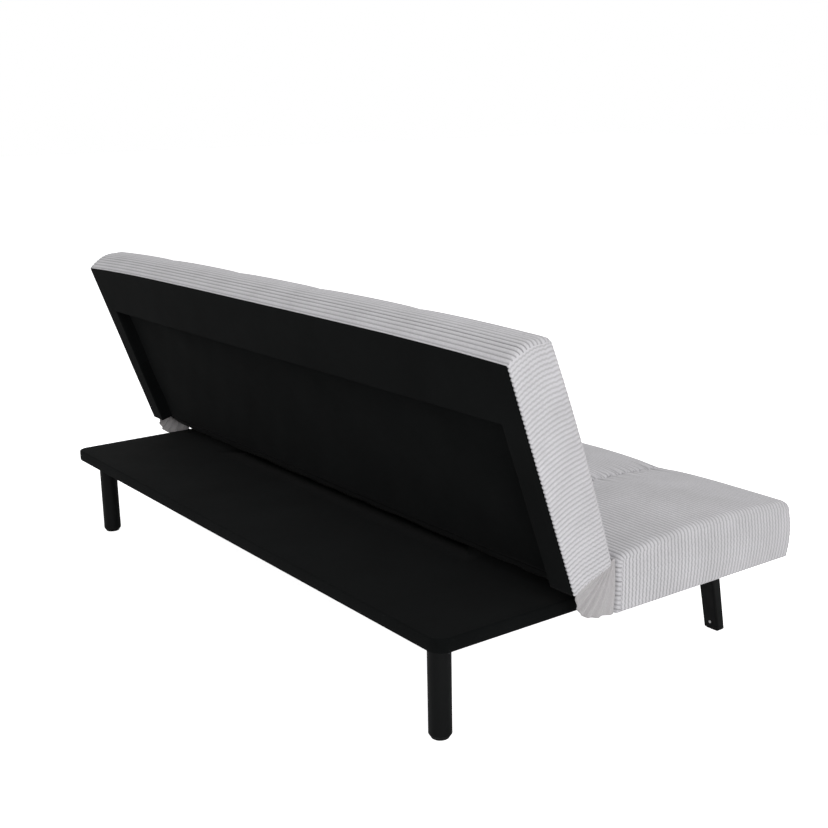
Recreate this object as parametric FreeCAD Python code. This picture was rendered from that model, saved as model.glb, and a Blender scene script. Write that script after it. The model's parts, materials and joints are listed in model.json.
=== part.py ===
"""Click clack sofa bed: padded seat on a flat frame, backrest that folds down behind it.

Frame: X along the sofa's length, the front faces -Y, +Z up, origin on the floor
under the middle of the whole sofa. All sizes are in millimetres.
"""
import FreeCAD, Part
import math
import os

Vec = FreeCAD.Vector

# Overall sizes
LENGTH = 1800.0
DEPTH = 888.0
SEAT_BOTTOM = 204.0
SEAT_EDGE = 323.0
SEAT_REAR_Y = 66.0
SEAT_CROWN = 14.0
FRONT_SWELL = 4.0
PANELS = 5

# Backrest, measured square to its own rear face
BACK_HEIGHT = 487.0
BACK_THICK = 110.6
BACK_TILT = 19.45
BACK_FOOT_Y = 179.0
BACK_FOOT_Z = 268.0
BACK_CROWN = 9.0
RECESS_DEPTH = 31.2
TOP_BAND = 128.0
STILE_BAND = 63.0

# Hinge line and travel of the backrest
PIVOT_Y = 106.6
PIVOT_Z = 318.6
FLAT_ANGLE = 70.55
HALF_ANGLE = 35.0
RELEASE_ANGLE = 8.0

# Cloth, padding and clearances
COVER = 2.4
CLOTH = 1.3
SOFT_GAP = 0.5
FIT_GAP = 0.05
RUN_GAP = 0.5
SEAM_DIP = 13.0
SEAM_STOPS = ((0.0, 0.0), (24.0, 0.74))
END_STOPS = ((0.0, 0.8, 9.0), (9.0, 0.9, 2.0), (50.0, 0.98, 0.0))
PLAIN_SEAM = ((0.0, 0.0),)
PLAIN_END = ((0.0, 0.8, 9.0), (50.0, 0.96, 0.0))

# Timber
RAIL = 25.0
RAIL_EASE = 9.0
FRAME_BOTTOM = 207.0
SEAT_FRAME_TOP = 266.0
LADDER_THICK = 17.0
LADDER_WIDE = 70.0
DECK_PLY = 5.0
DECK_HALF = 833.0
DECK_CORNER = 26.0
PLY = 6.0
MEMBER_THICK = 27.0
MEMBER_WIDE = 23.0
STRAP_WIDE = 60.0
STRAP_THICK = 1.8

# Legs
REAR_LEG_R = 23.0
REAR_LEG_X = 763.0
REAR_LEG_Y = 388.0
FRONT_LEG_X = 747.0
FRONT_LEG_WIDE = 40.0
FRONT_LEG_DEEP = 24.0
FRONT_LEG_FOOT_Y = -399.0
FRONT_LEG_TOP_Y = -361.0
GLIDE = 3.0
LEG_PLATE = 3.5
STUD_R = 4.0

# Ratchet hinge
HINGE_X = 851.0
SEAT_PLATE = 4.0
BACK_PLATE = 5.0
HUB_R = 17.0
RIM_R = 36.0
NOTCH_FLOOR_R = 29.0
PIN_R = 5.0
HEAD_R = 9.0
HEAD_THICK = 3.2
PAWL_PIN_R = 3.5
PAWL_BOSS_R = 8.0
PAWL_REACH = 30.0
PAWL_ANGLE = -110.0
PAWL_LIFT = 1.2
NOSE_HALF = 3.0
NOTCH_SLACK = 1.6
SCREW_R = 2.2
SCREW_HEAD_R = 4.6
SCREW_HEAD = 2.6
SCREW_LONG = 18.0
SLOT_NEAR = 842.0
SLOT_FAR = 862.5

# Folding cloth at the ends and behind the seat
GUSSET_THICK = 2.0
GUSSET_X = 889.0
PLEAT = 5.0
PLEATS = 5
FLAP_THICK = 1.6

HALF = LENGTH / 2
FRONT_Y = -DEPTH / 2
DECK_REAR_Y = DEPTH / 2
DECK_BOTTOM = SEAT_BOTTOM + 1.0
DECK_TOP = FRAME_BOTTOM + LADDER_THICK + DECK_PLY + CLOTH
SHEET_IN = COVER + SOFT_GAP
SIN = math.sin(math.radians(BACK_TILT))
COS = math.cos(math.radians(BACK_TILT))
FLOOR_T = RECESS_DEPTH + CLOTH
PANEL_T = FLOOR_T + 0.1
MEMBER_T = PANEL_T + PLY
PAD_T = MEMBER_T + MEMBER_THICK

os.makedirs("parts", exist_ok=True)
totals = {}


def save(name, shape):
    """Write one node and note how many solids it has."""
    if not shape.isValid():
        print("not valid:", name)
    if len(shape.Solids) == 1:
        shape = shape.Solids[0]
    totals[name] = (len(shape.Solids), round(shape.Volume / 1000.0, 1))
    shape.exportStep("parts/" + name + ".step")


def box(x0, x1, y0, y1, z0, z1):
    corner = Vec(min(x0, x1), min(y0, y1), min(z0, z1))
    return Part.makeBox(abs(x1 - x0), abs(y1 - y0), abs(z1 - z0), corner)


def rounded_box(x0, x1, y0, y1, z0, z1, radius, along):
    """Box whose four edges along one axis are rounded."""
    solid = box(x0, x1, y0, y1, z0, z1)
    edges = [e for e in solid.Edges if abs(getattr(e.tangentAt(e.FirstParameter), along)) > 0.9]
    return solid.makeFillet(radius, edges)


def join(shapes):
    first = shapes[0]
    return first.fuse(shapes[1:]).removeSplitter() if len(shapes) > 1 else first


def group(shapes):
    return Part.makeCompound([s for shape in shapes for s in shape.Solids])


def mirrored(shape):
    return shape.mirror(Vec(0, 0, 0), Vec(1, 0, 0))


def both_sides(shape):
    return group([mirrored(shape), shape])


def rod_x(x0, x1, y, z, radius):
    return Part.makeCylinder(radius, abs(x1 - x0), Vec(min(x0, x1), y, z), Vec(1, 0, 0))


def rod_z(x, y, z0, z1, radius):
    return Part.makeCylinder(radius, z1 - z0, Vec(x, y, z0), Vec(0, 0, 1))


def section(x, corners, bulges):
    """Closed wire in the plane at x.

    corners are (y, z, radius); bulges[i] is how far side i, from corner i to the
    next, swells outwards. The corners run counter-clockwise seen from +X.
    """
    count = len(corners)
    ends = []
    for i in range(count):
        y, z, radius = corners[i]
        here = Vec(x, y, z)
        before = Vec(x, *corners[i - 1][:2]) - here
        after = Vec(x, *corners[(i + 1) % count][:2]) - here
        before.normalize()
        after.normalize()
        half = before.getAngle(after) / 2
        cut = radius / math.tan(half)
        inward = before + after
        inward.normalize()
        middle = here + inward * (radius / math.sin(half) - radius)
        ends.append((here + before * cut, middle, here + after * cut))
    edges = []
    for i in range(count):
        start, middle, end = ends[i]
        if corners[i][2] > 0:
            edges.append(Part.Arc(start, middle, end).toShape())
        far = ends[(i + 1) % count][0]
        side = far - end
        if bulges[i] > 0:
            out = Vec(0, side.z, -side.y)
            out.normalize()
            top = (end + far) * 0.5 + out * bulges[i]
            edges.append(Part.Arc(end, top, far).toShape())
        else:
            edges.append(Part.LineSegment(end, far).toShape())
    return Part.Wire(edges)


def padded(profile, inset, seam_stops=SEAM_STOPS, end_stops=END_STOPS):
    """Row of sewn panels as one solid.

    profile(fullness, shrink) gives the corners and bulges of a section: fullness
    is 1 over a panel and 0 at a seam, shrink is how far the end has drawn in.
    """
    width = LENGTH / PANELS
    end = HALF - inset
    pieces = []
    for n in range(PANELS):
        left = -HALF + n * width
        right = left + width
        stops = []
        if n == 0:
            stops += [(-end + run, full, shrink) for run, full, shrink in end_stops]
        else:
            stops += [(left + run, full, 0.0) for run, full in seam_stops]
        stops.append(((left + right) / 2, 1.0, 0.0))
        if n == PANELS - 1:
            stops += [(end - run, full, shrink) for run, full, shrink in reversed(end_stops)]
        else:
            stops += [(right - run, full, 0.0) for run, full in reversed(seam_stops)]
        wires = [section(x, *profile(full, shrink, inset)) for x, full, shrink in stops]
        pieces.append(Part.makeLoft(wires, True, True))
    return join(pieces)


def seat_profile(full, shrink, inset):
    dip = SEAM_DIP * (1 - full)
    front = FRONT_Y + FRONT_SWELL + 0.5 * dip + 0.6 * shrink + inset
    rear = SEAT_REAR_Y - inset - 0.2 * shrink
    top = SEAT_EDGE - 0.6 * dip - 0.5 * shrink - inset
    bottom = SEAT_BOTTOM + inset
    corners = [
        (front, bottom, 7.0),
        (rear, bottom, 0.0),
        (rear, top, 18.0),
        (front, top, 34.0),
    ]
    crown = 2.0 + SEAT_CROWN * (0.35 + 0.65 * full) - 0.4 * shrink
    return corners, [0, 0, crown, FRONT_SWELL * (0.25 + 0.75 * full)]


def back_profile(full, shrink, inset):
    """Section of the backrest in its own frame: y runs from rear face to front."""
    dip = SEAM_DIP * (1 - full)
    front = -(BACK_THICK - 0.4 * dip - 0.6 * shrink - inset)
    rear = -inset - 0.15 * shrink
    top = BACK_HEIGHT - 0.5 * shrink - inset
    bottom = inset
    corners = [
        (front, bottom, 15.0),
        (rear, bottom, 0.0),
        (rear, top, 12.0),
        (front, top, 34.0),
    ]
    return corners, [0, 0, 1.5, 1.0 + BACK_CROWN * full]


def lean(shape):
    """Carry a shape from the backrest's own frame to its upright place."""
    moved = shape.copy()
    moved.rotate(Vec(0, 0, 0), Vec(1, 0, 0), -BACK_TILT)
    moved.translate(Vec(0, BACK_FOOT_Y, BACK_FOOT_Z))
    return moved


def back_box(x0, x1, t0, t1, h0, h1):
    """Box in the backrest's own frame: t from the rear face, h from the bottom."""
    return box(x0, x1, -t1, -t0, h0, h1)


PIVOT_H = (PIVOT_Y - BACK_FOOT_Y) * SIN + (PIVOT_Z - BACK_FOOT_Z) * COS
PIVOT_T = -(PIVOT_Y - BACK_FOOT_Y) * COS + (PIVOT_Z - BACK_FOOT_Z) * SIN


# Base frame and deck

RAIL_IN = HALF - 20.0 - RAIL
RAIL_FRONT = FRONT_Y + 16.0
RAIL_REAR = SEAT_REAR_Y - 16.0
LADDER_TOP = FRAME_BOTTOM + LADDER_THICK
DECK_IN = DECK_HALF - CLOTH
CROSS_YS = (FRONT_LEG_TOP_Y, RAIL_REAR - LADDER_WIDE / 2)
REAR_CROSS_Y = DECK_REAR_Y - CLOTH - LADDER_WIDE / 2
JOIST_XS = (-DECK_IN + LADDER_WIDE / 2, -277.0, 277.0, DECK_IN - LADDER_WIDE / 2)


def base_frame():
    rails = []
    for y in CROSS_YS:
        y0 = y - LADDER_WIDE / 2
        rails.append(box(-RAIL_IN, RAIL_IN, y0, y0 + LADDER_WIDE, FRAME_BOTTOM, LADDER_TOP))
    save("base_cross_rails", group(rails))

    rear = box(-DECK_IN, DECK_IN, REAR_CROSS_Y - LADDER_WIDE / 2, DECK_REAR_Y - CLOTH,
               FRAME_BOTTOM, LADDER_TOP)
    corners = [e for e in rear.Edges
               if abs(e.tangentAt(0).z) > 0.9 and e.Vertexes[0].Y > REAR_CROSS_Y]
    rear = rear.makeFillet(DECK_CORNER - CLOTH, corners)
    for x in (-REAR_LEG_X, REAR_LEG_X):
        rear = rear.cut(rod_z(x, REAR_LEG_Y, FRAME_BOTTOM - 1, LADDER_TOP + 1, STUD_R + FIT_GAP))
    save("base_rear_rail", rear)

    joists = []
    stretches = (
        (CROSS_YS[0] + LADDER_WIDE / 2, CROSS_YS[1] - LADDER_WIDE / 2),
        (CROSS_YS[1] + LADDER_WIDE / 2, REAR_CROSS_Y - LADDER_WIDE / 2),
    )
    for x in JOIST_XS:
        for y0, y1 in stretches:
            joists.append(box(x - LADDER_WIDE / 2, x + LADDER_WIDE / 2, y0, y1,
                              FRAME_BOTTOM, LADDER_TOP))
    save("base_joists", group(joists))

    panel = box(-DECK_IN, DECK_IN, RAIL_REAR, DECK_REAR_Y - CLOTH, LADDER_TOP,
                LADDER_TOP + DECK_PLY)
    corners = [e for e in panel.Edges
               if abs(e.tangentAt(0).z) > 0.9 and e.Vertexes[0].Y > REAR_CROSS_Y]
    panel = panel.makeFillet(DECK_CORNER - CLOTH, corners)
    for x in (-REAR_LEG_X, REAR_LEG_X):
        panel = panel.cut(rod_z(x, REAR_LEG_Y, LADDER_TOP - 1, DECK_TOP, 2.2 * STUD_R))
    save("deck_panel", panel)


def deck_cover():
    """Black cloth wrapped round the deck from behind the seat, open towards the front."""
    front = RAIL_REAR
    outer = box(-DECK_HALF, DECK_HALF, front, DECK_REAR_Y, DECK_BOTTOM, DECK_TOP)
    upright = [e for e in outer.Edges
               if abs(e.tangentAt(0).z) > 0.9 and e.Vertexes[0].Y > REAR_CROSS_Y]
    outer = outer.makeFillet(DECK_CORNER, upright)
    inner = box(-DECK_IN, DECK_IN, front - 1, DECK_REAR_Y - CLOTH,
                FRAME_BOTTOM, DECK_TOP - CLOTH)
    upright = [e for e in inner.Edges
               if abs(e.tangentAt(0).z) > 0.9 and e.Vertexes[0].Y > REAR_CROSS_Y]
    inner = inner.makeFillet(DECK_CORNER - CLOTH, upright)
    cover = outer.cut(inner)
    for x in (-REAR_LEG_X, REAR_LEG_X):
        cover = cover.cut(rod_z(x, REAR_LEG_Y, DECK_BOTTOM - 1, FRAME_BOTTOM + 1,
                                STUD_R + FIT_GAP))
    save("deck_cover", cover)


# Seat

def seat_frame():
    ends = box(RAIL_IN, RAIL_IN + RAIL, RAIL_FRONT, RAIL_REAR, FRAME_BOTTOM, SEAT_FRAME_TOP)
    for y, z in SEAT_SCREWS:
        ends = ends.cut(rod_x(RAIL_IN - 1, RAIL_IN + SCREW_LONG - SEAT_PLATE, y, z,
                              SCREW_R + FIT_GAP))
    save("seat_end_rail_left", mirrored(ends))
    save("seat_end_rail_right", ends)

    front = box(-RAIL_IN, RAIL_IN, RAIL_FRONT, RAIL_FRONT + RAIL, FRAME_BOTTOM, SEAT_FRAME_TOP)
    lower = [e for e in front.Edges if abs(e.tangentAt(0).x) > 0.9
             and e.BoundBox.YMax < RAIL_FRONT + 1 and e.BoundBox.ZMax < FRAME_BOTTOM + 1]
    save("seat_front_rail", front.makeChamfer(RAIL_EASE, lower))
    rear = box(-RAIL_IN + SEAT_PLATE + 1, RAIL_IN - SEAT_PLATE - 1, RAIL_REAR - RAIL, RAIL_REAR,
               LADDER_TOP, SEAT_FRAME_TOP)
    save("seat_rear_rail", rear)

    width = LENGTH / PANELS
    spacers = []
    for n in range(1, PANELS):
        x = -HALF + n * width
        spacers.append(box(x - RAIL / 2, x + RAIL / 2, RAIL_FRONT + RAIL, RAIL_REAR - RAIL,
                           LADDER_TOP, SEAT_FRAME_TOP))
    save("seat_spacer_rails", group(spacers))

    straps = []
    count = 12
    pitch = 2 * RAIL_IN / count
    for n in range(count):
        x = -RAIL_IN + (n + 0.5) * pitch
        straps.append(box(x - STRAP_WIDE / 2, x + STRAP_WIDE / 2, RAIL_FRONT + 2, RAIL_REAR - 2,
                          SEAT_FRAME_TOP, SEAT_FRAME_TOP + STRAP_THICK))
    save("seat_webbing", group(straps))


def seat_padding():
    outer = padded(seat_profile, 0.0)
    lining = padded(seat_profile, COVER, PLAIN_SEAM, PLAIN_END)
    filling = padded(seat_profile, SHEET_IN, PLAIN_SEAM, PLAIN_END)
    slot = group([
        box(s * SLOT_NEAR, s * SLOT_FAR, RAIL_REAR - RAIL - 20, SEAT_REAR_Y + 5,
            SEAT_BOTTOM + 6, PIVOT_Z - 5) for s in (-1, 1)])
    hem = 42.0
    opening = box(-HALF + hem, HALF - hem, FRONT_Y + hem, SEAT_REAR_Y - hem + 14,
                  SEAT_BOTTOM - 1, FRAME_BOTTOM)
    notch = box(-DECK_HALF - 1, DECK_HALF + 1, RAIL_REAR - SOFT_GAP, SEAT_REAR_Y + 1,
                SEAT_BOTTOM - 1, DECK_TOP + SOFT_GAP)
    cover = outer.cut(lining).cut(opening).cut(notch).cut(slot)
    save("seat_cover", cover)

    clear = SOFT_GAP / 2
    frame_room = box(-RAIL_IN - RAIL - clear, RAIL_IN + RAIL + clear, RAIL_FRONT - clear,
                     RAIL_REAR + clear, SEAT_BOTTOM, SEAT_FRAME_TOP + STRAP_THICK + clear)
    foam = filling.cut(frame_room).cut(notch).cut(slot)
    save("seat_foam", foam)

    cloth = box(-HALF + hem + 1, HALF - hem - 1, FRONT_Y + hem + 1, SEAT_REAR_Y - hem + 13,
                SEAT_BOTTOM + 0.8, SEAT_BOTTOM + 0.8 + CLOTH)
    for s in (-1, 1):
        x = s * FRONT_LEG_X
        cloth = cloth.cut(box(x - 42, x + 42, FRONT_LEG_TOP_Y - 36, FRONT_LEG_TOP_Y + 36,
                              SEAT_BOTTOM, FRAME_BOTTOM))
    save("seat_dust_cloth", cloth)


# Legs

def rear_legs():
    top = DECK_BOTTOM
    outline = [
        Vec(0, 0, GLIDE), Vec(REAR_LEG_R - 4, 0, GLIDE),
        Vec(REAR_LEG_R, 0, GLIDE + 6), Vec(REAR_LEG_R, 0, top), Vec(0, 0, top),
    ]
    edges = [
        Part.LineSegment(outline[0], outline[1]).toShape(),
        Part.LineSegment(outline[1], outline[2]).toShape(),
        Part.LineSegment(outline[2], outline[3]).toShape(),
        Part.LineSegment(outline[3], outline[4]).toShape(),
        Part.LineSegment(outline[4], outline[0]).toShape(),
    ]
    leg = Part.Face(Part.Wire(edges)).revolve(Vec(0, 0, 0), Vec(0, 0, 1), 360)
    leg = leg.cut(rod_z(0, 0, top - 40, top + 1, STUD_R + FIT_GAP))
    stud = rod_z(0, 0, top - 38, LADDER_TOP, STUD_R)
    nut = rod_z(0, 0, LADDER_TOP, LADDER_TOP + 3.4, 2.0 * STUD_R)
    glide = rod_z(0, 0, 0, GLIDE, REAR_LEG_R - 5)
    glide = glide.makeChamfer(0.8, [e for e in glide.Edges if e.BoundBox.ZMax < 0.01])
    studs = []
    glides = []
    for name, x in (("left", -REAR_LEG_X), ("right", REAR_LEG_X)):
        place = Vec(x, REAR_LEG_Y, 0)
        save("rear_leg_" + name, leg.translated(place))
        studs.append(stud.fuse(nut).removeSplitter().translated(place))
        glides.append(glide.translated(place))
    save("rear_leg_studs", group(studs))
    save("rear_leg_glides", group(glides))


def front_legs():
    """Flat legs splayed forwards, on steel plates screwed under the front cross rail."""
    top = FRAME_BOTTOM - LEG_PLATE
    half_x = FRONT_LEG_WIDE / 2
    half_y = FRONT_LEG_DEEP / 2

    def slice_at(z, y, grow):
        a = half_x + grow
        b = half_y + grow
        plan = box(-a, a, -b, b, 0, 1)
        plan = plan.makeFillet(5.0, [e for e in plan.Edges if abs(e.tangentAt(0).z) > 0.9])
        face = [f for f in plan.Faces if f.BoundBox.ZMax < 0.01][0]
        wire = face.OuterWire.copy()
        wire.translate(Vec(0, y, z))
        return wire

    leg = Part.makeLoft([slice_at(GLIDE, FRONT_LEG_FOOT_Y, 0), slice_at(top, FRONT_LEG_TOP_Y, 1.5)],
                        True, True)
    slope = (FRONT_LEG_TOP_Y - FRONT_LEG_FOOT_Y) / (top - GLIDE)
    pin_z = 19.0
    rear_y = FRONT_LEG_FOOT_Y + half_y + slope * (pin_z - GLIDE)
    pin = Part.makeCylinder(2.2, 16, Vec(0, rear_y - 14.6, pin_z), Vec(0, 1, 0))
    pin = pin.fuse(Part.makeCylinder(3.2, 1.6, Vec(0, rear_y - 0.8, pin_z), Vec(0, 1, 0)))
    leg = leg.cut(pin)

    plate = rounded_box(-36, 36, FRONT_LEG_TOP_Y - 30, FRONT_LEG_TOP_Y + 30, top, FRAME_BOTTOM,
                        8.0, "z")
    holes = [(dx, dy) for dx in (-27, 27) for dy in (-21, 21)]
    for dx, dy in holes:
        plate = plate.cut(rod_z(dx, FRONT_LEG_TOP_Y + dy, top - 1, FRAME_BOTTOM + 1,
                                SCREW_R + FIT_GAP))
    screws = []
    for dx, dy in holes:
        head = hexagon(Vec(dx, FRONT_LEG_TOP_Y + dy, top), SCREW_HEAD_R, Vec(0, 0, -SCREW_HEAD))
        shank = rod_z(dx, FRONT_LEG_TOP_Y + dy, top, FRAME_BOTTOM, SCREW_R)
        screws.append(head.fuse(shank).removeSplitter())
    glide = rounded_box(-half_x + 4, half_x - 4, FRONT_LEG_FOOT_Y - half_y + 3,
                        FRONT_LEG_FOOT_Y + half_y - 3, 0, GLIDE, 3.0, "z")
    parts = {"plates": [], "screws": [], "glides": [], "foot_pins": []}
    for name, x in (("left", -FRONT_LEG_X), ("right", FRONT_LEG_X)):
        place = Vec(x, 0, 0)
        save("front_leg_" + name, leg.translated(place))
        parts["plates"].append(plate.translated(place))
        parts["screws"].extend(s.translated(place) for s in screws)
        parts["glides"].append(glide.translated(place))
        parts["foot_pins"].append(pin.translated(place))
    for name, shapes in parts.items():
        save("front_leg_" + name, group(shapes))


# Ratchet hinge, drawn in the plane square to the hinge line

SEAT_SCREWS = ((-22.0, 245.0), (-2.0, 245.0), (18.0, 245.0))
BACK_SCREWS = ((52.0, 100.0), (52.0, 168.0))


def plate_outline(points, x0, x1):
    """Flat plate between two planes, from points (y, z) joined by straight edges."""
    loop = [Vec(x0, y, z) for y, z in points]
    wire = Part.makePolygon(loop + [loop[0]])
    return Part.Face(wire).extrude(Vec(x1 - x0, 0, 0))


def polar(radius, angle, y=PIVOT_Y, z=PIVOT_Z):
    a = math.radians(angle)
    return y + radius * math.cos(a), z + radius * math.sin(a)


def pie(x0, x1, radius, start, stop, y=PIVOT_Y, z=PIVOT_Z):
    """Sector of a disc round the hinge line, start and stop in degrees."""
    centre = Vec(x0, y, z)
    a = Vec(x0, *polar(radius, start, y, z))
    m = Vec(x0, *polar(radius, (start + stop) / 2, y, z))
    b = Vec(x0, *polar(radius, stop, y, z))
    edges = [Part.LineSegment(centre, a).toShape(), Part.Arc(a, m, b).toShape(),
             Part.LineSegment(b, centre).toShape()]
    return Part.Face(Part.Wire(edges)).extrude(Vec(x1 - x0, 0, 0))


def pawl_pivot():
    nose_y, nose_z = polar(RIM_R + PAWL_LIFT, PAWL_ANGLE)
    side = math.radians(PAWL_ANGLE - 90)
    return nose_y + PAWL_REACH * math.cos(side), nose_z + PAWL_REACH * math.sin(side)


def local_to_yz(t, h):
    return BACK_FOOT_Y + h * SIN - t * COS, BACK_FOOT_Z + h * COS + t * SIN


def hinge_seat_plate():
    x0 = HINGE_X
    x1 = HINGE_X + SEAT_PLATE
    pawl_y, pawl_z = pawl_pivot()
    tab = rounded_box(x0, x1, -34, RAIL_REAR - 2, LADDER_TOP + 2, SEAT_FRAME_TOP - 2, 8.0, "x")
    arm = plate_outline([(8, SEAT_FRAME_TOP - 6), (RAIL_REAR - 4, LADDER_TOP + 12),
                         polar(15, -40), polar(15, 128), (pawl_y - 6, pawl_z + 9)], x0, x1)
    hub = rod_x(x0, x1, PIVOT_Y, PIVOT_Z, HUB_R - 1.5)
    boss = rod_x(x0, x1, pawl_y, pawl_z, PAWL_BOSS_R + 1.5)
    plate = join([tab, arm, hub, boss])
    plate = plate.cut(rod_x(x0 - 1, x1 + 1, PIVOT_Y, PIVOT_Z, PIN_R + FIT_GAP))
    plate = plate.cut(rod_x(x0 - 1, x1 + 1, pawl_y, pawl_z, PAWL_PIN_R + FIT_GAP))
    for y, z in SEAT_SCREWS:
        plate = plate.cut(rod_x(x0 - 1, x1 + 1, y, z, SCREW_R + FIT_GAP))
    return plate


def hinge_back_plate():
    """Arm on the backrest with a notched rim under the hinge line."""
    x1 = HINGE_X - RUN_GAP
    x0 = x1 - BACK_PLATE
    hub = rod_x(x0, x1, PIVOT_Y, PIVOT_Z, HUB_R)
    rim = pie(x0, x1, RIM_R, PAWL_ANGLE - 20, PAWL_ANGLE + FLAT_ANGLE + 13)
    arm = plate_outline([local_to_yz(t, h) for t, h in (
        (45, 190), (61, 190), (66, 120), (98, 36), (90, 6), (72, 9), (47, 62), (41, 90),
        (41, 184))], x0, x1)
    plate = join([hub, rim, arm])
    half_turn = math.degrees((NOSE_HALF + NOTCH_SLACK) / RIM_R)
    for low, high in ((-RELEASE_ANGLE, 0.0), (HALF_ANGLE, HALF_ANGLE), (FLAT_ANGLE, FLAT_ANGLE)):
        start = PAWL_ANGLE + low - half_turn
        stop = PAWL_ANGLE + high + half_turn
        notch = pie(x0 - 1, x1 + 1, RIM_R + 3, start, stop)
        notch = notch.cut(rod_x(x0 - 2, x1 + 2, PIVOT_Y, PIVOT_Z, NOTCH_FLOOR_R))
        plate = plate.cut(notch)
    plate = plate.cut(rod_x(x0 - 1, x1 + 1, PIVOT_Y, PIVOT_Z, PIN_R + FIT_GAP))
    for t, h in BACK_SCREWS:
        y, z = local_to_yz(t, h)
        plate = plate.cut(rod_x(x0 - 1, x1 + 1, y, z, SCREW_R + FIT_GAP))
    return plate


def pawl():
    """Pawl lifted just clear of the rim; it turns about its own pin into a notch."""
    x1 = HINGE_X - RUN_GAP
    x0 = x1 - BACK_PLATE
    pawl_y, pawl_z = pawl_pivot()
    boss = rod_x(x0, x1, pawl_y, pawl_z, PAWL_BOSS_R)
    toward = PAWL_ANGLE + 180
    along = PAWL_ANGLE + 90
    nose_y, nose_z = polar(RIM_R + PAWL_LIFT, PAWL_ANGLE)

    def off(length, rise, y=nose_y, z=nose_z):
        a = math.radians(along)
        b = math.radians(toward)
        return (y + length * math.cos(a) + rise * math.cos(b),
                z + length * math.sin(a) + rise * math.sin(b))

    body = plate_outline([
        off(-PAWL_REACH, 6.0), off(-13, -5.5), off(-NOSE_HALF - 0.6, -6.0),
        off(-NOSE_HALF + 0.6, 0), off(NOSE_HALF - 0.6, 0), off(NOSE_HALF, -6.0),
        off(0, -12.0), off(-PAWL_REACH, -7.0),
        off(-PAWL_REACH - 17, -3.5), off(-PAWL_REACH - 17, 1.5),
    ], x0, x1)
    solid = join([boss, body])
    return solid.cut(rod_x(x0 - 1, x1 + 1, pawl_y, pawl_z, PAWL_PIN_R + FIT_GAP))


def rivet(y, z, shank, head):
    """Shouldered rivet through both plates, with a head on each outer side."""
    inner = HINGE_X - RUN_GAP - BACK_PLATE - 0.2
    outer = HINGE_X + SEAT_PLATE
    pin = rod_x(inner, outer, y, z, shank)
    caps = [rod_x(inner - HEAD_THICK, inner, y, z, head), rod_x(outer, outer + HEAD_THICK, y, z, head)]
    solid = join([pin] + caps)
    rims = [e for e in solid.Edges if len(e.Vertexes) == 1 and e.Curve.Radius > head - 0.01
            and (e.BoundBox.XMin < inner - 1 or e.BoundBox.XMax > outer + 1)]
    return solid.makeChamfer(1.2, rims)


def pawl_spring():
    """Leaf spring on the seat plate, bowed over the pawl's back."""
    pawl_y, pawl_z = pawl_pivot()
    x1 = HINGE_X - RUN_GAP
    x0 = x1 - BACK_PLATE
    y0 = pawl_y - 16
    z0 = pawl_z + 13.5
    foot = box(x0 + 0.4, HINGE_X, y0 - 14, y0 - 6, z0 - 3, z0 + 4)
    outer = Part.Arc(Vec(x0 + 0.4, y0 - 6, z0 + 1.0), Vec(x0 + 0.4, y0 + 5, z0 + 0.2),
                     Vec(x0 + 0.4, y0 + 14, z0 - 3.0)).toShape()
    inner = Part.Arc(Vec(x0 + 0.4, y0 + 14, z0 - 4.0), Vec(x0 + 0.4, y0 + 5, z0 - 0.8),
                     Vec(x0 + 0.4, y0 - 6, z0 + 0.0)).toShape()
    ends = [Part.LineSegment(outer.Vertexes[-1].Point, inner.Vertexes[0].Point).toShape(),
            Part.LineSegment(inner.Vertexes[-1].Point, outer.Vertexes[0].Point).toShape()]
    leaf = Part.Face(Part.Wire([outer, ends[0], inner, ends[1]])).extrude(
        Vec(BACK_PLATE - 0.8, 0, 0))
    return join([foot, leaf])


def hexagon(centre, radius, along):
    """Hexagon prism from a centre, as wide over its corners as twice the radius."""
    first = Vec(0, 1, 0) if abs(along.x) > 0 else Vec(1, 0, 0)
    second = along.cross(first)
    second.normalize()
    loop = []
    for n in range(7):
        turn = math.radians(60 * n)
        loop.append(centre + first * (radius * math.cos(turn)) + second * (radius * math.sin(turn)))
    return Part.Face(Part.makePolygon(loop)).extrude(along)


def screw_x(x, y, z, toward):
    """Hexagon-head screw whose head lies against the plane at x."""
    head = hexagon(Vec(x, y, z), SCREW_HEAD_R, Vec(-toward * SCREW_HEAD, 0, 0))
    shank = rod_x(x, x + toward * SCREW_LONG, y, z, SCREW_R)
    return head.fuse(shank).removeSplitter()


def hinges():
    pawl_y, pawl_z = pawl_pivot()
    back_face = HINGE_X - RUN_GAP
    pieces = {
        "hinge_seat_plate": hinge_seat_plate(),
        "hinge_back_plate": hinge_back_plate(),
        "hinge_pin": rivet(PIVOT_Y, PIVOT_Z, PIN_R, HEAD_R),
        "pawl": pawl(),
        "pawl_pin": rivet(pawl_y, pawl_z, PAWL_PIN_R, PAWL_BOSS_R - 1.5),
        "pawl_spring": pawl_spring(),
    }
    for name, shape in pieces.items():
        save(name + "_left", mirrored(shape))
        save(name + "_right", shape)
    seat = group([screw_x(HINGE_X, y, z, 1) for y, z in SEAT_SCREWS])
    back = group([screw_x(back_face, *local_to_yz(t, h), -1) for t, h in BACK_SCREWS])
    save("hinge_seat_screws", both_sides(seat))
    save("hinge_back_screws", both_sides(back))


# Backrest

FRAME_X = HALF - SHEET_IN - 1.5
STILE_IN = HALF - STILE_BAND + CLOTH
BAND_H = BACK_HEIGHT - TOP_BAND + CLOTH
FRAME_H = BACK_HEIGHT - SHEET_IN - 2.0
MEMBER_X = HINGE_X - RUN_GAP - BACK_PLATE


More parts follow.
